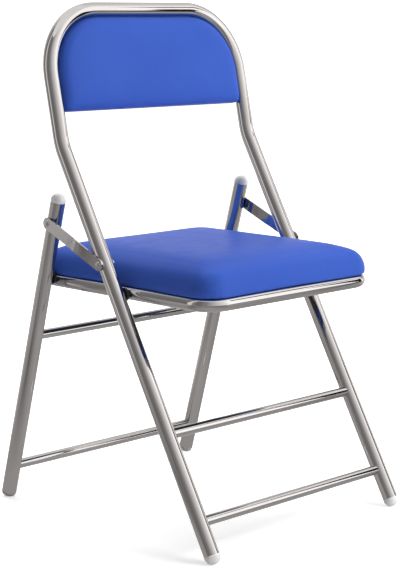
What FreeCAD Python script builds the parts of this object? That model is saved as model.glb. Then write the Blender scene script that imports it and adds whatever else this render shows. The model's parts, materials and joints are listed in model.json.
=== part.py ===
import FreeCAD, Part
import math
import os

# Folding chair: a bent chromed tube makes the front legs and the back, two straight
# rear legs hang from it on flat link straps, and a padded seat on a tube ring swings
# between them. X runs across the chair, -Y is its front and +Z is up, in millimetres.

V = FreeCAD.Vector
X_AXIS = V(1, 0, 0)
Y_AXIS = V(0, 1, 0)
Z_AXIS = V(0, 0, 1)
SIDES = {"left": -1, "right": 1}

# Stance: where the leg axes meet the floor and how far they lean, in degrees
FRONT_FOOT_Y = -255.6
FOOT_SPREAD = 507.0
FRONT_LEAN = 29.6
REAR_LEAN = 15.6
BACK_LEAN = 12.4
FRONT_HALF = 212.5
REAR_HALF = 211.5

# Frame tubes and crossbars
TUBE_R = 12.5
TUBE_WALL = 1.2
BAR_R = 8.0
BAR_WALL = 1.0
BEND_HEIGHT = 612.0
BEND_RADIUS = 90.0
TOP_HEIGHT = 839.5
TOP_CORNER = 108.0
REAR_TOP_HEIGHT = 522.0
FRONT_BARS = {"lower": 59.0, "upper": 183.0}
REAR_BARS = {"lower": 57.0, "upper": 293.0}

# Plugs that close the tube ends
PLUG_LENGTH = 18.0
PLUG_PLAY = 0.05
COLLAR = 1.5
FRONT_SOLE_DROP = 0.5
REAR_FOOT_ROUND = 8.0
REAR_SOLE_DROP = 0.4

# Pivots of the folding linkage: heights on the leg axes, pins and washers
SEAT_PIVOT_HEIGHT = 385.5
REAR_PIVOT_HEIGHT = 392.5
LINK_FRONT_HEIGHT = 433.0
LINK_REAR_HEIGHT = 486.5
PIN_R = 4.0
RUNNING_FIT = 0.05
SIDE_PLAY = 0.3
PIN_HEAD_PLAY = 0.6
PIN_HEAD_R = 5.0
PIN_HEAD_TOP_R = 3.6
PIN_HEAD_RISE = 2.5
SPACER_R = 11.0

# Link straps and their domed rivets
STRAP_WIDTH = 19.5
STRAP_THICK = 2.5
STRAP_PLAY = 0.7
CREASE_FROM_FRONT = 69.0
CREASE_RUN = 8.0
HEAD_PLAY = 0.15
RIVET_HEAD_R = 5.3
RIVET_HEAD_RISE = 3.0
RIVET_TAIL_R = 5.5
RIVET_TAIL_THICK = 1.6

# Seat ring, its board and lugs
RING_HEIGHT = 387.0
RING_R = 11.0
RING_WALL = 1.2
RING_HALF = 184.5
RING_SETBACK = 42.5
RING_DEPTH = 391.0
RING_FRONT_CORNER = 36.0
RING_REAR_CORNER = 30.0
SEAT_BOARD_THICK = 8.0
SEAT_BOARD_INSET = 10.0
SEAT_LUG_REACH = 32.0
SEAT_LUG_SETBACKS = (70.0, 320.0)

# Seat cushion: height above the ring's top and distance in from its outline, level by level
SEAT_PAD_OVERHANG = 7.5
SEAT_PAD_DRAWN_IN = 2.0
SEAT_PAD_LEVELS = (
    (0.2, 3.0), (4.0, 0.8), (9.5, 0.0), (16.0, 0.8), (22.5, 2.6), (29.0, 5.6), (34.5, 9.8),
    (39.0, 15.8), (42.8, 23.5), (46.0, 35.0), (48.6, 53.0), (50.4, 80.0), (51.2, 115.0),
)

# Backrest in its own leaning plane: heights run up from the bend, levels forward of the tube axes
BACK_PAD_GAP = 0.8
BACK_PAD_BOTTOM = 54.3
BACK_PAD_BOTTOM_CORNER = 9.0
BACK_PAD_DRAWN_IN = 1.0
BACK_PAD_TOP_LIP = 2.0
BACK_PAD_LEVELS = (
    (-10.6, 2.0), (-7.0, 0.4), (-3.0, 0.0), (3.0, 0.0), (6.5, -0.8), (10.0, -1.6), (12.8, -0.8),
    (14.8, 2.0), (16.2, 7.0), (17.2, 15.0), (18.0, 27.0), (18.4, 42.0),
)
BACK_BOARD_INSET = 14.0
BACK_BOARD_THICK = 7.0
BACK_COVER_THICK = 1.5
BACK_LUG_REACH = 32.0
BACK_LUG_SIDE_RISE = 88.0
BACK_LUG_TOP_X = 70.0

# Steel lugs and wood screws that hold both boards
LUG_WIDTH = 22.0
LUG_THICK = 2.5
SCREW_R = 2.0
SCREW_HOLE_R = 2.1
SCREW_HEAD_R = 4.5
SCREW_HEAD_TOP_R = 3.0
SCREW_HEAD_RISE = 2.4
SCREW_BITE = 5.5
DRILL_DEPTH = 6.0

# Values worked out from the driving dimensions
OVERCUT = 1.0
FAR = 1000.0
QUARTER_TURN = 90.0
FULL_TURN = 360.0
DIAGONAL = math.sqrt(0.5)
REAR_FOOT_Y = FRONT_FOOT_Y + FOOT_SPREAD
FRONT_SLOPE = math.tan(math.radians(FRONT_LEAN))
REAR_SLOPE = math.tan(math.radians(REAR_LEAN))
BACK_SLOPE = math.tan(math.radians(BACK_LEAN))
BORE_R = TUBE_R - TUBE_WALL
PLUG_R = BORE_R - PLUG_PLAY
PIN_HOLE_R = PIN_R + RUNNING_FIT
FRONT_INNER = FRONT_HALF - TUBE_R
REAR_INNER = REAR_HALF - TUBE_R
FRONT_OUTER = FRONT_HALF + TUBE_R
REAR_OUTER = REAR_HALF + TUBE_R
RING_OUTER = RING_HALF + RING_R
RING_INNER = RING_HALF - RING_R
RING_TOP = RING_HEIGHT + RING_R
RING_FRONT_Y = FRONT_FOOT_Y + RING_SETBACK
RING_REAR_Y = RING_FRONT_Y + RING_DEPTH
TOP_AXIS_HEIGHT = TOP_HEIGHT - TUBE_R
BACK_RISE = (TOP_AXIS_HEIGHT - BEND_HEIGHT) / math.cos(math.radians(BACK_LEAN))
COVER_BACK = -TUBE_R + SIDE_PLAY
BOARD_BACK = COVER_BACK + BACK_COVER_THICK


def front_axis(height, side=0):
    """Point on a front leg's axis below the bend."""
    return V(side * FRONT_HALF, FRONT_FOOT_Y + FRONT_SLOPE * height, height)


def rear_axis(height, side=0):
    """Point on a rear leg's axis."""
    return V(side * REAR_HALF, REAR_FOOT_Y - REAR_SLOPE * height, height)


SEAT_PIVOT = front_axis(SEAT_PIVOT_HEIGHT)
REAR_PIVOT = rear_axis(REAR_PIVOT_HEIGHT)
LINK_FRONT = front_axis(LINK_FRONT_HEIGHT)
LINK_REAR = rear_axis(LINK_REAR_HEIGHT)


# Shapes used in several places

def line(a, b):
    return Part.LineSegment(a, b).toShape()


def arc(a, middle, b):
    return Part.Arc(a, middle, b).toShape()


def cross_bar(radius, x_from, x_to, centre):
    """Round bar along X through a pivot point, between two X positions."""
    start = V(min(x_from, x_to), centre.y, centre.z)
    return Part.makeCylinder(radius, abs(x_to - x_from), start, X_AXIS)


def rod(radius, start, end):
    """Round bar between two points."""
    run = end - start
    return Part.makeCylinder(radius, run.Length, start, run)


def plate(outline, low, high):
    """Flat plate: an outline in plan, between two heights."""
    solid = Part.Face(outline).extrude(V(0, 0, high - low))
    solid.translate(V(0, 0, low))
    return solid


def rounded_path(points, radii):
    """Wire through the points, its inner corners rounded by tangent arcs."""
    edges = []
    last = points[0]
    for before, corner, after, radius in zip(points, points[1:], points[2:], radii):
        to_before = (before - corner).normalize()
        to_after = (after - corner).normalize()
        half_angle = to_before.getAngle(to_after) / 2
        middle = (to_before + to_after).normalize()
        enter = corner + to_before * (radius / math.tan(half_angle))
        leave = corner + to_after * (radius / math.tan(half_angle))
        crown = corner + middle * (radius / math.sin(half_angle) - radius)
        edges.append(line(last, enter))
        edges.append(arc(enter, crown, leave))
        last = leave
    edges.append(line(last, points[-1]))
    return Part.Wire(edges)


def sweep_round(path, radius):
    """Solid round section along a path of lines and arcs, each run its own cylinder or ring."""
    runs = []
    for edge in path.OrderedEdges:
        start = edge.valueAt(edge.FirstParameter)
        end = edge.valueAt(edge.LastParameter)
        disc = Part.Face(Part.Wire(Part.makeCircle(radius, start, edge.tangentAt(edge.FirstParameter))))
        if isinstance(edge.Curve, Part.Circle):
            turn = math.degrees(edge.LastParameter - edge.FirstParameter)
            runs.append(disc.revolve(edge.Curve.Center, edge.Curve.Axis, turn))
        else:
            runs.append(disc.extrude(end - start))
    return runs[0].fuse(runs[1:]).removeSplitter()


def dome(radius, rise, base, outward):
    """Low round head: the cap of a ball."""
    ball_r = (radius ** 2 + rise ** 2) / (2 * rise)
    ball = Part.makeSphere(ball_r, base + outward * (rise - ball_r), outward)
    return ball.common(Part.makeCylinder(2 * radius, 2 * rise, base, outward))


def soft_outline(half, low, high, low_corner, high_corner, drawn_in):
    """Rounded rectangle in plan, its sides drawn in a little between the corners."""
    middle = (low + low_corner + high - high_corner) / 2
    lows = low_corner * (1 - DIAGONAL)
    highs = high_corner * (1 - DIAGONAL)
    return Part.Wire([
        arc(V(low_corner - half, low, 0), V(0, low + drawn_in, 0), V(half - low_corner, low, 0)),
        arc(V(half - low_corner, low, 0), V(half - lows, low + lows, 0), V(half, low + low_corner, 0)),
        arc(V(half, low + low_corner, 0), V(half - drawn_in, middle, 0), V(half, high - high_corner, 0)),
        arc(V(half, high - high_corner, 0), V(half - highs, high - highs, 0), V(half - high_corner, high, 0)),
        arc(V(half - high_corner, high, 0), V(0, high - drawn_in, 0), V(high_corner - half, high, 0)),
        arc(V(high_corner - half, high, 0), V(highs - half, high - highs, 0), V(-half, high - high_corner, 0)),
        arc(V(-half, high - high_corner, 0), V(drawn_in - half, middle, 0), V(-half, low + low_corner, 0)),
        arc(V(-half, low + low_corner, 0), V(lows - half, low + lows, 0), V(low_corner - half, low, 0)),
    ])


def soft_pad(levels, outline):
    """Crowned pad: a loft through the outline at each (height, inset) level."""
    wires = []
    for height, inset in levels:
        wire = outline(inset)
        wire.translate(V(0, 0, height))
        wires.append(wire)
    return Part.makeLoft(wires, True, True)


def above_floor(shape):
    """The part of a shape that lies above the floor."""
    size = shape.BoundBox
    return shape.common(Part.makeBox(size.XLength, size.YLength, FAR, V(size.XMin, size.YMin, 0)))


# Front frame

def front_end(side):
    """Lower end of the front tube, just above the collar of its foot cap."""
    along = V(0, FRONT_SLOPE, 1).normalize()
    return front_axis(TUBE_R - FRONT_SOLE_DROP, side) + along * COLLAR


def front_path():
    """Axis of the bent front tube, from the left foot round the back to the right foot."""
    top_y = front_axis(BEND_HEIGHT).y + BACK_SLOPE * (TOP_AXIS_HEIGHT - BEND_HEIGHT)
    points = [
        front_end(-1),
        front_axis(BEND_HEIGHT, -1),
        V(-FRONT_HALF, top_y, TOP_AXIS_HEIGHT),
        V(FRONT_HALF, top_y, TOP_AXIS_HEIGHT),
        front_axis(BEND_HEIGHT, 1),
        front_end(1),
    ]
    return rounded_path(points, [BEND_RADIUS, TOP_CORNER, TOP_CORNER, BEND_RADIUS])


def make_front_frame_tube():
    path = front_path()
    tube = sweep_round(path, TUBE_R).cut(sweep_round(path, BORE_R))
    inside = FRONT_INNER - OVERCUT
    outside = FRONT_OUTER + OVERCUT
    for side in SIDES.values():
        tube = tube.cut(cross_bar(PIN_HOLE_R, side * FRONT_HALF, side * inside, SEAT_PIVOT))
        tube = tube.cut(cross_bar(PIN_HOLE_R, side * outside, side * inside, LINK_FRONT))
    return tube


def make_crossbar(axis_point, height):
    """Hollow bar between two legs, its ends coped to fit round them."""
    start = axis_point(height, -1)
    end = axis_point(height, 1)
    bar = rod(BAR_R, start, end).cut(rod(BAR_R - BAR_WALL, start, end))
    for side in SIDES.values():
        low = axis_point(height - 2 * TUBE_R, side)
        high = axis_point(height + 2 * TUBE_R, side)
        bar = bar.cut(rod(TUBE_R, low, high))
    return bar


def make_plug(base, outward, end_round):
    """Plug for a tube end: a collar over the tube's rim and a rounded end."""
    if end_round < TUBE_R:
        head = Part.makeCylinder(TUBE_R, COLLAR + end_round)
        rim = max(head.Edges, key=lambda edge: edge.CenterOfMass.z)
        head = head.makeFillet(end_round, [rim])
    else:
        half_ball = Part.makeSphere(TUBE_R, V(0, 0, COLLAR), Z_AXIS, 0, QUARTER_TURN, FULL_TURN)
        head = Part.makeCylinder(TUBE_R, COLLAR).fuse(half_ball)
    plug = head.fuse(Part.makeCylinder(PLUG_R, PLUG_LENGTH, V(0, 0, -PLUG_LENGTH))).removeSplitter()
    plug.Placement = FreeCAD.Placement(base, FreeCAD.Rotation(Z_AXIS, outward))
    return plug


def make_front_foot_cap(side):
    return above_floor(make_plug(front_end(side), V(0, -FRONT_SLOPE, -1), TUBE_R))


# Rear legs

def rear_end_height():
    """Height of the rear tube's lower end, so that its foot plug is cut a little by the floor."""
    lean = math.radians(REAR_LEAN)
    flat_r = TUBE_R - REAR_FOOT_ROUND
    return COLLAR * math.cos(lean) + flat_r * math.sin(lean) + REAR_FOOT_ROUND - REAR_SOLE_DROP


def make_rear_leg(side):
    low = rear_axis(rear_end_height(), side)
    high = rear_axis(REAR_TOP_HEIGHT, side)
    leg = rod(TUBE_R, low, high).cut(rod(BORE_R, low, high))
    return leg.cut(cross_bar(PIN_HOLE_R, side * REAR_HALF, side * (REAR_INNER - OVERCUT), REAR_PIVOT))


def make_rear_foot_cap(side):
    base = rear_axis(rear_end_height(), side)
    return above_floor(make_plug(base, V(0, REAR_SLOPE, -1), REAR_FOOT_ROUND))


def make_rear_top_cap(side):
    return make_plug(rear_axis(REAR_TOP_HEIGHT, side), V(0, -REAR_SLOPE, 1), TUBE_R)


# Pivots and links

def make_pivot_pin(side, leg_half, pivot):
    """Pin fixed in a leg's inner wall: the seat ring turns on it, held by its bevelled head."""
    head_x = side * (RING_INNER - PIN_HEAD_PLAY)
    shank = cross_bar(PIN_R, side * leg_half, head_x, pivot)
    base = V(head_x, pivot.y, pivot.z)
    head = Part.makeCone(PIN_HEAD_R, PIN_HEAD_TOP_R, PIN_HEAD_RISE, base, V(-side, 0, 0))
    return shank.fuse(head).removeSplitter()


def make_spacer(side, leg_inner, pivot):
    """Washer that keeps the seat ring off a leg."""
    outer = side * (leg_inner - SIDE_PLAY)
    inner = side * (RING_OUTER + SIDE_PLAY)
    return cross_bar(SPACER_R, outer, inner, pivot).cut(cross_bar(PIN_HOLE_R, outer, inner, pivot))


def make_link_strap(side):
    """Flat strap with round ends, set in past its crease to lie along the narrower rear legs."""
    along = LINK_REAR - LINK_FRONT
    length = along.Length
    half = STRAP_WIDTH / 2
    step = FRONT_HALF - REAR_HALF
    inner = [
        V(-half, 0, 0),
        V(CREASE_FROM_FRONT - CREASE_RUN, 0, 0),
        V(CREASE_FROM_FRONT, 0, -step),
        V(length + half, 0, -step),
    ]
    outer = [point + V(0, 0, STRAP_THICK) for point in reversed(inner)]
    band = Part.Face(Part.makePolygon(inner + outer + inner[:1])).extrude(V(0, STRAP_WIDTH, 0))
    band.translate(V(0, -half, 0))
    outline = Part.Wire([
        line(V(0, -half, 0), V(length, -half, 0)),
        arc(V(length, -half, 0), V(length + half, 0, 0), V(length, half, 0)),
        line(V(length, half, 0), V(0, half, 0)),
        arc(V(0, half, 0), V(-half, 0, 0), V(0, -half, 0)),
    ])
    strap = band.common(plate(outline, -STRAP_WIDTH, STRAP_WIDTH))
    for distance in (0, length):
        strap = strap.cut(Part.makeCylinder(PIN_HOLE_R, 2 * STRAP_WIDTH, V(distance, 0, -STRAP_WIDTH)))
    outward = V(side, 0, 0)
    turn = FreeCAD.Rotation(along, outward.cross(along), outward, "XZY")
    base = V(side * (FRONT_OUTER + STRAP_PLAY), LINK_FRONT.y, LINK_FRONT.z)
    strap.Placement = FreeCAD.Placement(base, turn)
    return strap


def make_link_front_rivet(side):
    """Rivet through the strap and both walls of the front tube."""
    head_x = side * (FRONT_OUTER + STRAP_PLAY + STRAP_THICK + HEAD_PLAY)
    tail_x = side * (FRONT_INNER - HEAD_PLAY)
    shank = cross_bar(PIN_R, head_x, tail_x, LINK_FRONT)
    tail = cross_bar(RIVET_TAIL_R, tail_x, tail_x - side * RIVET_TAIL_THICK, LINK_FRONT)
    head = dome(RIVET_HEAD_R, RIVET_HEAD_RISE, V(head_x, LINK_FRONT.y, LINK_FRONT.z), V(side, 0, 0))
    return shank.fuse([tail, head]).removeSplitter()


def make_link_rear_rivet(side):
    """Rivet at the strap's rear end: its shank stops short of the rear leg."""
    inner_x = side * (REAR_OUTER + STRAP_PLAY)
    head_x = inner_x + side * (STRAP_THICK + HEAD_PLAY)
    shank = cross_bar(PIN_R, inner_x, head_x, LINK_REAR)
    head = dome(RIVET_HEAD_R, RIVET_HEAD_RISE, V(head_x, LINK_REAR.y, LINK_REAR.z), V(side, 0, 0))
    return shank.fuse(head).removeSplitter()


# Lugs and screws

def make_lug(screw_point, towards_tube, reach):
    """Flat lug with a round inner end: its screw hole is centred on that end."""
    lug = Part.makeBox(reach, LUG_WIDTH, LUG_THICK, V(0, -LUG_WIDTH / 2, 0))
    lug = lug.fuse(Part.makeCylinder(LUG_WIDTH / 2, LUG_THICK)).removeSplitter()
    lug = lug.cut(Part.makeCylinder(SCREW_HOLE_R, LUG_THICK))
    turn = FreeCAD.Rotation(X_AXIS, towards_tube)
    lug.Placement = FreeCAD.Placement(screw_point - Z_AXIS * LUG_THICK, turn)
    return lug


def make_screw(lug_face, grip):
    """Pan-head wood screw up through a lug whose upper face is at the point given."""
    under = lug_face - Z_AXIS * LUG_THICK
    shank = Part.makeCylinder(SCREW_R, LUG_THICK + grip + SCREW_BITE, under)
    head = Part.makeCone(SCREW_HEAD_R, SCREW_HEAD_TOP_R, SCREW_HEAD_RISE, under, V(0, 0, -1))
    return shank.fuse(head).removeSplitter()


def drill(shape, points, depth):
    """Screw holes up into a plate from the points given."""
    for point in points:
        shape = shape.cut(Part.makeCylinder(SCREW_HOLE_R, depth, point))
    return shape


# Seat

def seat_outline(inset, drawn_in=SEAT_PAD_DRAWN_IN):
    grow = SEAT_PAD_OVERHANG - inset
    front = RING_FRONT_CORNER + max(grow, -RING_FRONT_CORNER / 2)
    rear = RING_REAR_CORNER + max(grow, -RING_REAR_CORNER / 2)
    return soft_outline(RING_HALF + grow, RING_FRONT_Y - grow, RING_REAR_Y + grow, front, rear, drawn_in)


def seat_board_plate(low):
    return plate(seat_outline(SEAT_BOARD_INSET, PLUG_PLAY), low, RING_TOP + SEAT_BOARD_THICK)


def ring_path():
    """Axis of the seat ring, a closed loop from the middle of its rear side."""
    corners = [
        V(0, RING_REAR_Y, RING_HEIGHT),
        V(-RING_HALF, RING_REAR_Y, RING_HEIGHT),
        V(-RING_HALF, RING_FRONT_Y, RING_HEIGHT),
        V(RING_HALF, RING_FRONT_Y, RING_HEIGHT),
        V(RING_HALF, RING_REAR_Y, RING_HEIGHT),
        V(0, RING_REAR_Y, RING_HEIGHT),
    ]
    radii = [RING_REAR_CORNER, RING_FRONT_CORNER, RING_FRONT_CORNER, RING_REAR_CORNER]
    return rounded_path(corners, radii)


def make_seat_ring():
    path = ring_path()
    ring = sweep_round(path, RING_R).cut(sweep_round(path, RING_R - RING_WALL))
    for side in SIDES.values():
        for pivot in (SEAT_PIVOT, REAR_PIVOT):
            outside = side * (RING_OUTER + OVERCUT)
            inside = side * (RING_INNER - OVERCUT)
            ring = ring.cut(cross_bar(PIN_HOLE_R, outside, inside, pivot))
    return ring


def seat_screw_points():
    """Screw positions on the upper faces of the seat lugs."""
    x = RING_HALF - SEAT_LUG_REACH
    return [V(side * x, RING_FRONT_Y + setback, RING_TOP)
            for side in SIDES.values() for setback in SEAT_LUG_SETBACKS]


def make_seat_lugs():
    """Flat lugs welded inside the ring, level with its top, under the board."""
    ring = sweep_round(ring_path(), RING_R)
    lugs = [make_lug(p, V(math.copysign(1, p.x), 0, 0), SEAT_LUG_REACH) for p in seat_screw_points()]
    return Part.makeCompound([lug.cut(ring) for lug in lugs])


def make_seat_screws():
    return Part.makeCompound([make_screw(point, 0) for point in seat_screw_points()])


def make_seat_board():
    return drill(seat_board_plate(RING_TOP), seat_screw_points(), DRILL_DEPTH)


def make_seat_cushion():
    pad = soft_pad(SEAT_PAD_LEVELS, seat_outline)
    pad.translate(V(0, 0, RING_TOP))
    return pad.cut(seat_board_plate(RING_TOP - OVERCUT))


# Backrest, modelled lying flat with its front face up and its top towards +Y

def stand_up(shape):
    """Stand a flat-lying backrest piece up in the leaning plane of the frame."""
    leaning = FreeCAD.Rotation(X_AXIS, QUARTER_TURN - BACK_LEAN)
    shape.Placement = FreeCAD.Placement(front_axis(BEND_HEIGHT), leaning)
    return shape


def back_outline(inset, drawn_in=BACK_PAD_DRAWN_IN):
    """Outline of the back: where it is wider than the space in the tube, its top laps further over it."""
    half = FRONT_INNER - BACK_PAD_GAP - inset
    lip = -BACK_PAD_TOP_LIP * min(inset, 0)
    top = BACK_RISE - TUBE_R - BACK_PAD_GAP - inset + lip
    corner = TOP_CORNER - TUBE_R - BACK_PAD_GAP - inset
    return soft_outline(half, BACK_PAD_BOTTOM + max(inset, 0), top, BACK_PAD_BOTTOM_CORNER, corner, drawn_in)


def back_board_plate(low):
    return plate(back_outline(BACK_BOARD_INSET, PLUG_PLAY), low, BOARD_BACK + BACK_BOARD_THICK)


def back_screws():
    """Screw positions on the front faces of the backrest lugs, each with the way to its tube."""
    side_x = FRONT_HALF - BACK_LUG_REACH
    top_rise = BACK_RISE - BACK_LUG_REACH
    places = []
    for side in SIDES.values():
        places.append((V(side * side_x, BACK_LUG_SIDE_RISE, -TUBE_R), V(side, 0, 0)))
        places.append((V(side * BACK_LUG_TOP_X, top_rise, -TUBE_R), Y_AXIS))
    return places


def back_screw_points():
    return [point for point, towards_tube in back_screws()]


def make_backrest_lugs():
    """Flat lugs welded to the back of the tube, two at the sides and two at the top."""
    lugs = [make_lug(point, towards_tube, BACK_LUG_REACH) for point, towards_tube in back_screws()]
    return stand_up(Part.makeCompound(lugs))


def make_backrest_screws():
    grip = BOARD_BACK + TUBE_R
    return stand_up(Part.makeCompound([make_screw(point, grip) for point in back_screw_points()]))


def make_backrest_rear_cover():
    cover = plate(back_outline(BACK_PAD_LEVELS[0][1]), COVER_BACK, BOARD_BACK)
    return stand_up(drill(cover, back_screw_points(), DRILL_DEPTH))


def make_backrest_board():
    depth = BOARD_BACK + TUBE_R + DRILL_DEPTH
    return stand_up(drill(back_board_plate(BOARD_BACK), back_screw_points(), depth))


def make_backrest_cushion():
    pad = soft_pad(BACK_PAD_LEVELS, back_outline)
    return stand_up(pad.cut(back_board_plate(BOARD_BACK - OVERCUT)))


def build():
    """Every node of the chair, by name."""
    nodes = {
        "front_frame_tube": make_front_frame_tube(),
        "backrest_lugs": make_backrest_lugs(),
        "backrest_board": make_backrest_board(),
        "backrest_rear_cover": make_backrest_rear_cover(),
        "backrest_cushion": make_backrest_cushion(),
        "backrest_screws": make_backrest_screws(),
        "seat_ring": make_seat_ring(),
        "seat_lugs": make_seat_lugs(),
        "seat_board": make_seat_board(),
        "seat_cushion": make_seat_cushion(),
        "seat_screws": make_seat_screws(),
    }
    for level, height in FRONT_BARS.items():
        nodes["front_%s_crossbar" % level] = make_crossbar(front_axis, height)
    for level, height in REAR_BARS.items():
        nodes["rear_%s_crossbar" % level] = make_crossbar(rear_axis, height)
    for name, side in SIDES.items():
        nodes["front_foot_cap_" + name] = make_front_foot_cap(side)
        nodes["seat_pivot_pin_" + name] = make_pivot_pin(side, FRONT_HALF, SEAT_PIVOT)
        nodes["seat_pivot_spacer_" + name] = make_spacer(side, FRONT_INNER, SEAT_PIVOT)
        nodes["link_front_rivet_" + name] = make_link_front_rivet(side)
        nodes["link_strap_" + name] = make_link_strap(side)
        nodes["link_rear_rivet_" + name] = make_link_rear_rivet(side)
        nodes["rear_leg_" + name] = make_rear_leg(side)
        nodes["rear_foot_cap_" + name] = make_rear_foot_cap(side)
        nodes["rear_top_cap_" + name] = make_rear_top_cap(side)
        nodes["rear_pivot_pin_" + name] = make_pivot_pin(side, REAR_HALF, REAR_PIVOT)
        nodes["rear_pivot_spacer_" + name] = make_spacer(side, REAR_INNER, REAR_PIVOT)
    return nodes


os.makedirs("parts", exist_ok=True)
for node, shape in build().items():
    shape.exportStep("parts/%s.step" % node)
    print(node, "valid" if shape.isValid() else "INVALID", len(shape.Solids), round(shape.Volume))
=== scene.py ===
import json
import math

import bmesh
import bpy
from mathutils import Matrix, Vector


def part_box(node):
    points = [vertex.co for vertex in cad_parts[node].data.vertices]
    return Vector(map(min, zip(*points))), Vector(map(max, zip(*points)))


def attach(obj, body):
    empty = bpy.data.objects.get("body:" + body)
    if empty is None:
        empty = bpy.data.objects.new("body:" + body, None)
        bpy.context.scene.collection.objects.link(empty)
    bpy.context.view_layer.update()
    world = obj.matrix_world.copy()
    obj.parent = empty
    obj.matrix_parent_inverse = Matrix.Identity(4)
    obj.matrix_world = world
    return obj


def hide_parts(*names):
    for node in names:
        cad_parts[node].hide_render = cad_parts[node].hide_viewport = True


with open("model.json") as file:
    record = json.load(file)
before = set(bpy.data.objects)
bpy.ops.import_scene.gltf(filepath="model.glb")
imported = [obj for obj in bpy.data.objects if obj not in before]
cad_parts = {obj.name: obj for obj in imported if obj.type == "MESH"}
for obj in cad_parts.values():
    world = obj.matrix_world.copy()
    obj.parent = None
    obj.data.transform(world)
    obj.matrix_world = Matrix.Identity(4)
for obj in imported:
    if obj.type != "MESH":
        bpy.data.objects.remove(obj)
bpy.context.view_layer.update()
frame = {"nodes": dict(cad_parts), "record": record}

MM = 0.001

# Camera: where it stands, what it looks along and its lens on a 36 mm tall sensor
CAMERA_PLACE = (-1.8824, -1.9285, 0.8231)
CAMERA_FORWARD = (0.6900, 0.7049, -0.1646)
CAMERA_LENS = 103.27
SENSOR = 36.0

# Seat pad before it is inflated: heights above the board's underside and insets from its outline, in mm
SEAT_LEVELS = (
    (0.3, 7.5), (-0.4, 4.0), (-1.5, 1.4), (-1.8, -0.6), (1.5, -1.5), (6.5, -1.6), (12.0, -1.2),
    (18.0, 0.4), (24.0, 3.0), (29.5, 6.6), (34.0, 11.2), (38.0, 18.0), (41.2, 27.0), (43.8, 40.0),
    (45.8, 58.0), (47.0, 82.0), (47.6, 115.0),
)
SEAT_FRONT_CORNER = 39.0
SEAT_REAR_CORNER = 37.5
SEAT_CORNER_LEAST_SHARE = 0.5
SEAT_DRAWN_IN = 2.0
SEAT_HELD_BELOW = 3.5
SEAT_SWELL_CAP = 5.0

# Cover folded under the seat board: insets of its two edges and its lower and upper heights, in mm
HEM_EDGES = (3.0, 34.0)
HEM_HEIGHTS = (-0.3, 0.4)

# Back pad before it is inflated: the frame's lean in degrees and its bend, the pad's reach up the tubes
# from there, and its levels as distances forward of the tube axes and insets, in mm
BACK_LEAN = 12.4
BACK_BEND = (0.0, 92.06, 612.0)
BACK_BOTTOM = 54.3
BACK_TOP = 206.84
BACK_HALF = 199.2
BACK_TOP_CORNER = 94.7
BACK_BOTTOM_CORNER = 9.0
BACK_DRAWN_IN = 0.0
BACK_LEVELS = (
    (-12.0, 4.0), (-10.5, 1.2), (-7.0, -1.2), (-2.0, -1.6), (2.5, -1.6), (5.5, -1.0), (8.5, 0.8),
    (12.0, 3.8), (15.0, 7.6), (17.0, 12.5), (18.4, 20.0), (19.2, 30.0), (19.6, 44.0),
)
BACK_HELD_BELOW = 5.0
BACK_SWELL_CAP = 2.0

# Both pads: steps along their outlines, the mesh that is inflated, and how the swelling is evened out
ACROSS_STEPS = 24
ALONG_STEPS = 20
LOW_CORNER_STEPS = 8
HIGH_CORNER_STEPS = 12
VOXEL = 4 * MM
SOFTEN_FACTOR = 0.5
SOFTEN_PASSES = 4
CLOTH_PRESSURE = 4.0
CLOTH_FRAMES = 20
SWELL_PASSES = 50
ROUND_LEVELS = 1

# Materials: shades and roughness run with the middle span of a noise, and relief is a bump's strength
# and its distance in metres
NOISE_SPAN = (0.3, 0.7)
CHROME = {
    "shades": ((0.53, 0.527, 0.523), (0.58, 0.58, 0.58)),
    "roughness": (0.03, 0.08),
    "cloud": {"scale": 9.0, "detail": 4.0},
    "smear": {"scale": 60.0, "detail": 3.0},
    "ripple": {"scale": 240.0, "detail": 2.0},
    "relief": {"strength": 0.04, "distance": 0.0004},
}
STEEL = {
    "shades": ((0.36, 0.36, 0.37), (0.48, 0.48, 0.48)),
    "roughness": (0.28, 0.42),
    "grain": {"scale": 120.0, "detail": 4.0},
    "pits": {"scale": 700.0, "detail": 2.0},
    "relief": {"strength": 0.1, "distance": 0.0004},
}
VINYL = {
    "shades": ((0.040, 0.102, 0.48), (0.046, 0.113, 0.52)),
    "roughness": (0.35, 0.41),
    "specular": 0.06,
    "cloud": {"scale": 7.0, "detail": 3.0},
    "wear": {"scale": 40.0, "detail": 4.0},
    "pebble_scale": 850.0,
    "relief": {"strength": 0.12, "distance": 0.0006},
}
PLASTICS = {
    "white_plastic": {"shades": ((0.82, 0.82, 0.81), (0.90, 0.90, 0.89)), "roughness": (0.30, 0.42)},
    # grey_plastic is painted shade: the rear feet are white caps like the front ones, made grey as they
    # lie in shade
    "grey_plastic": {"shades": ((0.30, 0.30, 0.31), (0.40, 0.40, 0.41)), "roughness": (0.36, 0.48)},
    "black_plastic": {"shades": ((0.015, 0.015, 0.017), (0.03, 0.03, 0.034)), "roughness": (0.39, 0.51)},
}
PLASTIC_MOTTLE = {"scale": 90.0, "detail": 4.0}
PLASTIC_GRAIN = {"scale": 900.0, "detail": 2.0}
PLASTIC_RELIEF = {"strength": 0.08, "distance": 0.0004}
PLYWOOD = {
    "shades": ((0.012, 0.011, 0.012), (0.032, 0.029, 0.028)),
    "roughness": 0.62,
    "figure": {"scale": 14.0, "detail": 6.0, "stretch": (1.0, 0.12, 1.0)},
    "fibre": {"scale": 160.0, "detail": 5.0, "stretch": (1.0, 0.06, 1.0)},
    "relief": {"strength": 0.2, "distance": 0.0006},
}

# Light: the surroundings as light and as they are seen, from the horizon up to the ceiling by the sine
# of the height, then the lamps
AMBIENT = 0.2
HORIZON = 1.78
CEILING = 1.14
CEILING_SINES = (0.17, 0.48)
LAMPS = {
    "key_lamp": {"place": (1.5, -3.0, 2.1), "size": 2.4, "power": 116},
    "top_lamp": {"place": (0.6, 1.2, 3.2), "size": 2.4, "power": 85},
}
LOOK_AT = (0.0, 0.0, 0.45)

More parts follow.
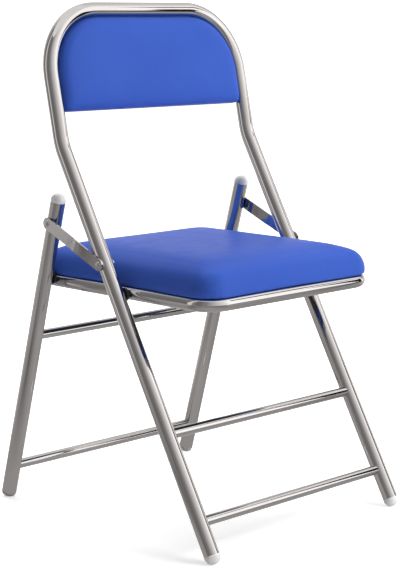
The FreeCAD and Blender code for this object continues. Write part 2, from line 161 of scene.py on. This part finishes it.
# Floor: its half side, its own grey, and its lift to white, near the chair and far from it
FLOOR_REACH = 30.0
FLOOR_GREY = 0.88
FLOOR_ROUGHNESS = 0.9
FLOOR_LIFT = (0.5, 1.0)
FLOOR_LIFT_DISTANCES = (0.6, 2.0)

# Screens that are only mirrored: degrees round from the camera, to its left, and the grey there
SCREEN_CENTRE = (0.0, 0.0, 0.4)
SCREEN_REACH = 6.0
SCREEN_TINT = (1.0, 0.95, 0.93)
SCREEN_GAIN = 1.42
SIDE_SCREENS = {
    "left_screen": {
        "degrees_up": (-4.0, 20.0, 42.0, 62.0),
        "greys": (
            (-70, 0.95), (-40, 0.68), (-10, 0.42), (14, 0.2), (22, 0.23), (28, 0.17), (40, 0.15),
            (53, 0.17), (58, 0.3), (62, 0.13), (70, 0.7), (78, 0.75), (86, 0.15), (105, 0.2), (135, 0.6),
        ),
    },
    "right_screen": {
        "degrees_up": (8.0, 24.0, 44.0),
        "greys": ((-126, 0.95), (-116, 1.0), (-104, 1.1), (-95, 1.2), (-80, 1.2), (-70, 1.0)),
    },
}

# Rear screen: greys by degrees up, and the share of them that each turn has
REAR_SCREEN_GREYS = ((-4, 0.85), (9, 0.75), (14, 0.45), (20, 0.3), (28, 0.6), (45, 0.8), (62, 0.8))
REAR_SCREEN_TURNS = ((125, 1.0), (145, 1.0), (174, 1.0), (192, 0.8), (234, 0.85))

# Dark upright screens: the ends on the floor plan and the heights, in metres
DARK_SCREENS = {
    "leg_screen": {"ends": ((1.20, -1.14), (1.46, -0.62)), "heights": (0.2, 1.02)},
    "bar_screen": {"ends": ((2.38, -2.02), (2.74, -1.42)), "heights": (2.15, 2.66)},
}
DARK_SCREEN_GREY = 0.02

# Floor screen: its rings' reaches in metres, the grey of the first, and those of the second and the
# outer two for each turn to the left. The right has the same outer greys and one grey for the second
FLOOR_SCREEN_REACHES = (0.02, 0.7, 1.4, 6.0)
FLOOR_SCREEN_LIFT = 0.001
FLOOR_SCREEN_NEAR = 0.36
FLOOR_SCREEN_GREYS = (
    (0, 0.32, 0.22), (30, 0.24, 0.2), (55, 0.13, 0.19), (70, 0.2, 0.34), (82, 0.28, 0.36),
    (90.5, 0.28, 0.24), (92.4, 0.28, 0.14), (93.1, 0.28, 0.14), (93.3, 0.28, 0.42), (100, 0.28, 0.36),
    (140, 0.28, 0.6), (180, 0.28, 0.7),
)
FLOOR_SCREEN_RIGHT = 0.28


# Shader helpers

def new_material(name):
    """A node material with its principled shader."""
    material = bpy.data.materials.new(name)
    material.use_nodes = True
    return material, material.node_tree, material.node_tree.nodes["Principled BSDF"]


def node(tree, kind, **values):
    """Add a node. Each value goes to the socket of that name or, where there is none, to the setting."""
    made = tree.nodes.new(kind)
    for key, value in values.items():
        if key in made.inputs:
            made.inputs[key].default_value = value
        else:
            setattr(made, key, value)
    return made


def noise(tree, scale, detail, stretch=(1, 1, 1)):
    """Noise over the object's own coordinates."""
    place = node(tree, "ShaderNodeTexCoord")
    shape = node(tree, "ShaderNodeMapping", Scale=stretch)
    made = node(tree, "ShaderNodeTexNoise", Scale=scale, Detail=detail)
    tree.links.new(place.outputs["Object"], shape.inputs["Vector"])
    tree.links.new(shape.outputs["Vector"], made.inputs["Vector"])
    return made.outputs["Fac"]


def remap(tree, source, span, ends):
    """Spread a signal's span over the numbers between two ends."""
    made = node(tree, "ShaderNodeMapRange")
    for name, value in zip(("From Min", "From Max", "To Min", "To Max"), (*span, *ends)):
        made.inputs[name].default_value = value
    tree.links.new(source, made.inputs["Value"])
    return made.outputs["Result"]


def tint(tree, source, shades):
    """Colour that runs from one shade to another with a noise."""
    ramp = node(tree, "ShaderNodeValToRGB")
    for stop, position, shade in zip(ramp.color_ramp.elements, NOISE_SPAN, shades):
        stop.position = position
        stop.color = (*shade, 1)
    tree.links.new(source, ramp.inputs["Fac"])
    return ramp.outputs["Color"]


def bump(tree, shader, source, strength, distance):
    """Relief on a shader from a height signal."""
    made = node(tree, "ShaderNodeBump", Strength=strength, Distance=distance)
    tree.links.new(source, made.inputs["Height"])
    tree.links.new(made.outputs["Normal"], shader.inputs["Normal"])


# Materials

def chrome_material():
    """Polished plating, a little clouded, smeared and rippled."""
    material, tree, shader = new_material("chrome_plate")
    shader.inputs["Metallic"].default_value = 1.0
    cloud = noise(tree, **CHROME["cloud"])
    smear = noise(tree, **CHROME["smear"])
    tree.links.new(tint(tree, cloud, CHROME["shades"]), shader.inputs["Base Color"])
    tree.links.new(remap(tree, smear, NOISE_SPAN, CHROME["roughness"]), shader.inputs["Roughness"])
    bump(tree, shader, noise(tree, **CHROME["ripple"]), **CHROME["relief"])
    return material


def steel_material():
    """Dull zinc plating on lugs, pins and screws."""
    material, tree, shader = new_material("zinc_plated_steel")
    shader.inputs["Metallic"].default_value = 1.0
    grain = noise(tree, **STEEL["grain"])
    tree.links.new(tint(tree, grain, STEEL["shades"]), shader.inputs["Base Color"])
    tree.links.new(remap(tree, grain, NOISE_SPAN, STEEL["roughness"]), shader.inputs["Roughness"])
    bump(tree, shader, noise(tree, **STEEL["pits"]), **STEEL["relief"])
    return material


def vinyl_material():
    """Blue leatherette with a fine pebbled grain."""
    material, tree, shader = new_material("blue_leatherette")
    cloud = noise(tree, **VINYL["cloud"])
    wear = noise(tree, **VINYL["wear"])
    tree.links.new(tint(tree, cloud, VINYL["shades"]), shader.inputs["Base Color"])
    tree.links.new(remap(tree, wear, NOISE_SPAN, VINYL["roughness"]), shader.inputs["Roughness"])
    shader.inputs["Specular IOR Level"].default_value = VINYL["specular"]
    place = node(tree, "ShaderNodeTexCoord")
    pebble = node(tree, "ShaderNodeTexVoronoi", feature="F1", Scale=VINYL["pebble_scale"])
    tree.links.new(place.outputs["Object"], pebble.inputs["Vector"])
    bump(tree, shader, pebble.outputs["Distance"], **VINYL["relief"])
    return material


def plastic_material(name, shades, roughness):
    """Moulded plastic, slightly mottled."""
    material, tree, shader = new_material(name)
    mottle = noise(tree, **PLASTIC_MOTTLE)
    tree.links.new(tint(tree, mottle, shades), shader.inputs["Base Color"])
    tree.links.new(remap(tree, mottle, NOISE_SPAN, roughness), shader.inputs["Roughness"])
    bump(tree, shader, noise(tree, **PLASTIC_GRAIN), **PLASTIC_RELIEF)
    return material


def plywood_material():
    """Black stained plywood with its grain along Y."""
    material, tree, shader = new_material("black_stained_plywood")
    figure = noise(tree, **PLYWOOD["figure"])
    tree.links.new(tint(tree, figure, PLYWOOD["shades"]), shader.inputs["Base Color"])
    shader.inputs["Roughness"].default_value = PLYWOOD["roughness"]
    bump(tree, shader, noise(tree, **PLYWOOD["fibre"]), **PLYWOOD["relief"])
    return material


MATERIALS = {
    "blue_vinyl": vinyl_material(),
    "chrome": chrome_material(),
    **{name: plastic_material(name, **plastic) for name, plastic in PLASTICS.items()},
    "plywood": plywood_material(),
    "steel": steel_material(),
}


def dress_frame():
    """Give every CAD node the material of its slot in the record."""
    for subpart in frame["record"]["subparts"]:
        for slot in frame["nodes"][subpart["node"]].material_slots:
            slot.material = MATERIALS[subpart["material_slot"]]


# Pads

def side_run(start, end, drawn_in, steps):
    """Points from start to end, bowed to their left, most in the middle."""
    run = end - start
    inward = Vector((-run.y, run.x)).normalized()
    for i in range(steps):
        t = i / steps
        yield start + run * t + inward * (drawn_in * 4 * t * (1 - t))


def corner_run(centre, radius, from_angle, steps):
    """Points on a quarter circle, turning left."""
    for i in range(steps):
        angle = math.radians(from_angle + 90 * i / steps)
        yield centre + Vector((math.cos(angle), math.sin(angle))) * radius


def pad_outline(half, low, high, low_corner, high_corner, drawn_in):
    """Rounded rectangle, anticlockwise from the low side, with sides drawn in between corners."""
    x0 = half - low_corner
    x1 = half - high_corner
    y0 = low + low_corner
    y1 = high - high_corner
    points = []
    points += side_run(Vector((-x0, low)), Vector((x0, low)), drawn_in, ACROSS_STEPS)
    points += corner_run(Vector((x0, y0)), low_corner, -90, LOW_CORNER_STEPS)
    points += side_run(Vector((half, y0)), Vector((half, y1)), drawn_in, ALONG_STEPS)
    points += corner_run(Vector((x1, y1)), high_corner, 0, HIGH_CORNER_STEPS)
    points += side_run(Vector((x1, high)), Vector((-x1, high)), drawn_in, ACROSS_STEPS)
    points += corner_run(Vector((-x1, y1)), high_corner, 90, HIGH_CORNER_STEPS)
    points += side_run(Vector((-half, y1)), Vector((-half, y0)), drawn_in, ALONG_STEPS)
    points += corner_run(Vector((-x0, y0)), low_corner, 180, LOW_CORNER_STEPS)
    return points


def ring(mesh, outline, inset, height):
    """Vertices round an outline, at an inset and a height in mm."""
    return [mesh.verts.new((p.x * MM, p.y * MM, height * MM)) for p in outline(inset)]


def wall(mesh, below, above):
    """Faces between two rings."""
    for i, vert in enumerate(below):
        after = (i + 1) % len(below)
        mesh.faces.new((vert, below[after], above[after], above[i]))


def mesh_object(name, mesh):
    """Object of a finished mesh, in the scene."""
    data = bpy.data.meshes.new(name)
    mesh.to_mesh(data)
    mesh.free()
    made = bpy.data.objects.new(name, data)
    bpy.context.scene.collection.objects.link(made)
    return made


def pad_mesh(name, levels, outline):
    """Closed pad through its outlines, each at its own height."""
    mesh = bmesh.new()
    rings = [ring(mesh, outline, inset, height) for height, inset in levels]
    for below, above in zip(rings, rings[1:]):
        wall(mesh, below, above)
    mesh.faces.new(list(reversed(rings[0])))
    mesh.faces.new(rings[-1])
    return mesh_object(name, mesh)


def band_mesh(name, edges, heights, outline):
    """Thin closed band between two insets of an outline."""
    mesh = bmesh.new()
    outer, inner = edges
    low, high = heights
    section = ((outer, low), (outer, high), (inner, high), (inner, low))
    rings = [ring(mesh, outline, inset, height) for inset, height in section]
    for below, above in zip(rings, rings[1:] + rings[:1]):
        wall(mesh, below, above)
    return mesh_object(name, mesh)


def apply_modifiers(piece):
    """Bake a piece's modifiers into its mesh."""
    graph = bpy.context.evaluated_depsgraph_get()
    baked = bpy.data.meshes.new_from_object(piece.evaluated_get(graph))
    piece.modifiers.clear()
    piece.data = baked


def even_out(piece):
    """Give a pad an even mesh with softened edges."""
    remesh = piece.modifiers.new("even", "REMESH")
    remesh.mode = "VOXEL"
    remesh.voxel_size = VOXEL
    soften = piece.modifiers.new("soften", "SMOOTH")
    soften.factor = SOFTEN_FACTOR
    soften.iterations = SOFTEN_PASSES
    apply_modifiers(piece)


def blow_up(piece, held_below):
    """Let pressure swell a pad as cloth, held at its underside."""
    held = piece.vertex_groups.new(name="held")
    held.add([vert.index for vert in piece.data.vertices if vert.co.z < held_below], 1.0, "REPLACE")
    cloth = piece.modifiers.new("swell", "CLOTH")
    cloth.settings.use_pressure = True
    cloth.settings.uniform_pressure_force = CLOTH_PRESSURE
    cloth.settings.effector_weights.gravity = 0
    cloth.settings.vertex_group_mass = "held"
    scene = bpy.context.scene
    for number in range(1, CLOTH_FRAMES + 1):
        scene.frame_set(number)
    apply_modifiers(piece)
    scene.frame_set(1)
    piece.vertex_groups.clear()


def evened(mesh, values):
    """Each vertex's value averaged with its neighbours'."""
    totals = list(values)
    counts = [1] * len(values)
    for edge in mesh.edges:
        a, b = edge.vertices
        totals[a] += values[b]
        totals[b] += values[a]
        counts[a] += 1
        counts[b] += 1
    return [total / count for total, count in zip(totals, counts)]


def inflate(piece, held_below, cap):
    """Swell a pad with pressure, and keep the swelling smooth and within a cap."""
    even_out(piece)
    rest = [vert.co.copy() for vert in piece.data.vertices]
    outward = [vert.normal.copy() for vert in piece.data.vertices]
    blow_up(piece, held_below)
    moved = zip(piece.data.vertices, rest, outward)
    swell = [min(max((vert.co - start).dot(way), 0), cap) for vert, start, way in moved]
    for number in range(SWELL_PASSES):
        swell = evened(piece.data, swell)
    for vert, start, way, rise in zip(piece.data.vertices, rest, outward, swell):
        vert.co = start + way * rise


def finish_pad(piece, body, replaced):
    piece.data.polygons.foreach_set("use_smooth", [True] * len(piece.data.polygons))
    piece.data.materials.clear()
    piece.data.materials.append(MATERIALS["blue_vinyl"])
    smooth = piece.modifiers.new("round", "SUBSURF")
    smooth.levels = ROUND_LEVELS
    smooth.render_levels = ROUND_LEVELS
    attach(piece, body)
    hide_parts(*replaced)


def make_seat_pad():
    """Seat pad over the board, and its cover's hem under the board."""
    low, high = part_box("seat_cushion")
    half = high.x / MM
    front = low.y / MM
    back = high.y / MM

    def outline(inset):
        front_corner = max(SEAT_FRONT_CORNER - inset, SEAT_FRONT_CORNER * SEAT_CORNER_LEAST_SHARE)
        rear_corner = max(SEAT_REAR_CORNER - inset, SEAT_REAR_CORNER * SEAT_CORNER_LEAST_SHARE)
        return pad_outline(half - inset, front + inset, back - inset, front_corner, rear_corner,
                           SEAT_DRAWN_IN)

    pad = pad_mesh("seat_pad", SEAT_LEVELS, outline)
    inflate(pad, SEAT_HELD_BELOW * MM, SEAT_SWELL_CAP * MM)
    onto_board = Matrix.Translation((0, 0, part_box("seat_board")[0].z))
    pad.data.transform(onto_board)
    finish_pad(pad, "seat", ["seat_cushion"])
    hem = band_mesh("seat_hem", HEM_EDGES, HEM_HEIGHTS, outline)
    hem.data.transform(onto_board)
    hem.data.materials.append(MATERIALS["blue_vinyl"])
    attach(hem, "seat")


def make_back_pad():
    """Back pad, made lying flat and stood up in the frame's leaning plane."""
    def outline(inset):
        return pad_outline(BACK_HALF - inset, BACK_BOTTOM + max(inset, 0), BACK_TOP - inset,
                           BACK_BOTTOM_CORNER, BACK_TOP_CORNER - inset, BACK_DRAWN_IN)

    pad = pad_mesh("back_pad", BACK_LEVELS, outline)
    inflate(pad, BACK_HELD_BELOW * MM, BACK_SWELL_CAP * MM)
    place = Matrix.Translation(Vector(BACK_BEND) * MM)
    pad.data.transform(place @ Matrix.Rotation(math.radians(90 - BACK_LEAN), 4, "X"))
    finish_pad(pad, "front_frame", ["backrest_cushion", "backrest_rear_cover"])


# Studio

def add_camera():
    """Camera at the photograph's angle."""
    data = bpy.data.cameras.new("camera")
    data.sensor_fit = "VERTICAL"
    data.sensor_height = SENSOR
    data.lens = CAMERA_LENS
    camera = bpy.data.objects.new("camera", data)
    camera.location = CAMERA_PLACE
    camera.rotation_euler = Vector(CAMERA_FORWARD).to_track_quat("-Z", "Y").to_euler()
    bpy.context.scene.collection.objects.link(camera)
    bpy.context.scene.camera = camera


def add_lamps():
    """Soft lamps aimed at the chair, which its chrome doesn't mirror."""
    for name, lamp in LAMPS.items():
        data = bpy.data.lights.new(name, "AREA")
        data.size = lamp["size"]
        data.energy = lamp["power"]
        made = bpy.data.objects.new(name, data)
        made.location = lamp["place"]
        aim = Vector(LOOK_AT) - Vector(lamp["place"])
        made.rotation_euler = aim.to_track_quat("-Z", "Y").to_euler()
        made.visible_glossy = False
        bpy.context.scene.collection.objects.link(made)


def seen_directly(tree):
    """One for a ray from the camera, a mirror or glass, zero for a ray that lights something."""
    path = node(tree, "ShaderNodeLightPath")
    first = node(tree, "ShaderNodeMath", operation="MAXIMUM")
    both = node(tree, "ShaderNodeMath", operation="MAXIMUM")
    tree.links.new(path.outputs["Is Camera Ray"], first.inputs[0])
    tree.links.new(path.outputs["Is Glossy Ray"], first.inputs[1])
    tree.links.new(first.outputs[0], both.inputs[0])
    tree.links.new(path.outputs["Is Transmission Ray"], both.inputs[1])
    return both.outputs[0]


def add_world():
    """White surroundings, faint as light and bright where they are seen or mirrored."""
    world = bpy.data.worlds.new("studio")
    world.use_nodes = True
    bpy.context.scene.world = world
    tree = world.node_tree
    way = node(tree, "ShaderNodeTexCoord")
    parts = node(tree, "ShaderNodeSeparateXYZ")
    tree.links.new(way.outputs["Generated"], parts.inputs["Vector"])
    seen = remap(tree, parts.outputs["Z"], CEILING_SINES, (HORIZON, CEILING))
    strength = node(tree, "ShaderNodeMapRange")
    strength.inputs["To Min"].default_value = AMBIENT
    tree.links.new(seen, strength.inputs["To Max"])
    tree.links.new(seen_directly(tree), strength.inputs["Value"])
    background = tree.nodes["Background"]
    background.inputs["Color"].default_value = (1, 1, 1, 1)
    tree.links.new(strength.outputs["Result"], background.inputs["Strength"])


def add_floor():
    """Pale floor: lifted towards white where it is seen, and shaded by the chair."""
    data = bpy.data.meshes.new("floor")
    corners = [(x * FLOOR_REACH, y * FLOOR_REACH, 0) for x, y in ((-1, -1), (1, -1), (1, 1), (-1, 1))]
    data.from_pydata(corners, [], [(0, 1, 2, 3)])
    floor = bpy.data.objects.new("floor", data)
    bpy.context.scene.collection.objects.link(floor)
    material, tree, shader = new_material("floor")
    shader.inputs["Base Color"].default_value = (FLOOR_GREY, FLOOR_GREY, FLOOR_GREY, 1)
    shader.inputs["Roughness"].default_value = FLOOR_ROUGHNESS
    place = node(tree, "ShaderNodeTexCoord")
    away = node(tree, "ShaderNodeVectorMath", operation="LENGTH")
    tree.links.new(place.outputs["Object"], away.inputs[0])
    rise = remap(tree, away.outputs["Value"], FLOOR_LIFT_DISTANCES, FLOOR_LIFT)
    lift = node(tree, "ShaderNodeMath", operation="MULTIPLY")
    tree.links.new(seen_directly(tree), lift.inputs[0])
    tree.links.new(rise, lift.inputs[1])
    shader.inputs["Emission Color"].default_value = (1, 1, 1, 1)
    tree.links.new(lift.outputs[0], shader.inputs["Emission Strength"])
    data.materials.append(material)


# Mirrored screens

def add_screen(name, rows, shades):
    """Sheet through rows of points, a grey for each point, that is mirrored and lights nothing."""
    across = len(rows[0])
    faces = []
    for i in range(len(rows) - 1):
        for j in range(across - 1):
            first = i * across + j
            faces.append((first, first + 1, first + 1 + across, first + across))
    data = bpy.data.meshes.new(name)
    data.from_pydata([point for row in rows for point in row], [], faces)
    shade = data.attributes.new("shade", "FLOAT", "POINT")
    shade.data.foreach_set("value", [grey * SCREEN_GAIN for row in shades for grey in row])
    material, tree, shader = new_material(name)
    tree.nodes.remove(shader)
    read = node(tree, "ShaderNodeAttribute", attribute_name="shade")
    glow = node(tree, "ShaderNodeEmission", Color=(*SCREEN_TINT, 1))
    tree.links.new(read.outputs["Fac"], glow.inputs["Strength"])
    tree.links.new(glow.outputs["Emission"], tree.nodes["Material Output"].inputs["Surface"])
    data.materials.append(material)
    screen = bpy.data.objects.new(name, data)
    screen.visible_camera = False
    screen.visible_diffuse = False
    screen.visible_shadow = False
    bpy.context.scene.collection.objects.link(screen)


def round_point(turn, up, reach):
    """Point round the chair: degrees from the camera to its left, degrees up, and distance."""
    towards_camera = math.atan2(-CAMERA_FORWARD[1], -CAMERA_FORWARD[0])
    angle = towards_camera - math.radians(turn)
    out = reach * math.cos(math.radians(up))
    height = reach * math.sin(math.radians(up))
    return Vector(SCREEN_CENTRE) + Vector((out * math.cos(angle), out * math.sin(angle), height))


def add_side_screens():
    """Screens to the camera's left and right, the same grey all the way up."""
    for name, side in SIDE_SCREENS.items():
        rows = []
        for up in side["degrees_up"]:
            rows.append([round_point(turn, up, SCREEN_REACH) for turn, grey in side["greys"]])
        add_screen(name, rows, [[grey for turn, grey in side["greys"]] for row in rows])


def add_rear_screen():
    """Screen behind the chair, with greys that change upwards."""
    rows = []
    shades = []
    for up, grey in REAR_SCREEN_GREYS:
        rows.append([round_point(turn, up, SCREEN_REACH) for turn, share in REAR_SCREEN_TURNS])
        shades.append([grey * share for turn, share in REAR_SCREEN_TURNS])
    add_screen("rear_screen", rows, shades)


def add_dark_screens():
    """Small dark sheets that draw the dark lines on the legs and crossbars."""
    for name, sheet in DARK_SCREENS.items():
        rows = [[Vector((*end, height)) for end in sheet["ends"]] for height in sheet["heights"]]
        add_screen(name, rows, [[DARK_SCREEN_GREY] * len(row) for row in rows])


def add_floor_screen():
    """Rings on the floor round the chair."""
    mirrored = reversed(FLOOR_SCREEN_GREYS[1:])
    right = [(-turn, FLOOR_SCREEN_RIGHT, outer) for turn, second, outer in mirrored]
    columns = right + list(FLOOR_SCREEN_GREYS)
    onto_floor = Vector((0, 0, FLOOR_SCREEN_LIFT - SCREEN_CENTRE[2]))
    rows = []
    for reach in FLOOR_SCREEN_REACHES:
        rows.append([round_point(turn, 0, reach) + onto_floor for turn, second, outer in columns])
    first_ring = [FLOOR_SCREEN_NEAR] * len(columns)
    second_ring = [second for turn, second, outer in columns]
    outer_ring = [outer for turn, second, outer in columns]
    add_screen("floor_screen", rows, [first_ring, second_ring, outer_ring, outer_ring])


dress_frame()
make_seat_pad()
make_back_pad()
add_camera()
add_lamps()
add_world()
add_floor()
add_side_screens()
add_rear_screen()
add_dark_screens()
add_floor_screen()
bpy.context.scene.view_settings.view_transform = "Standard"
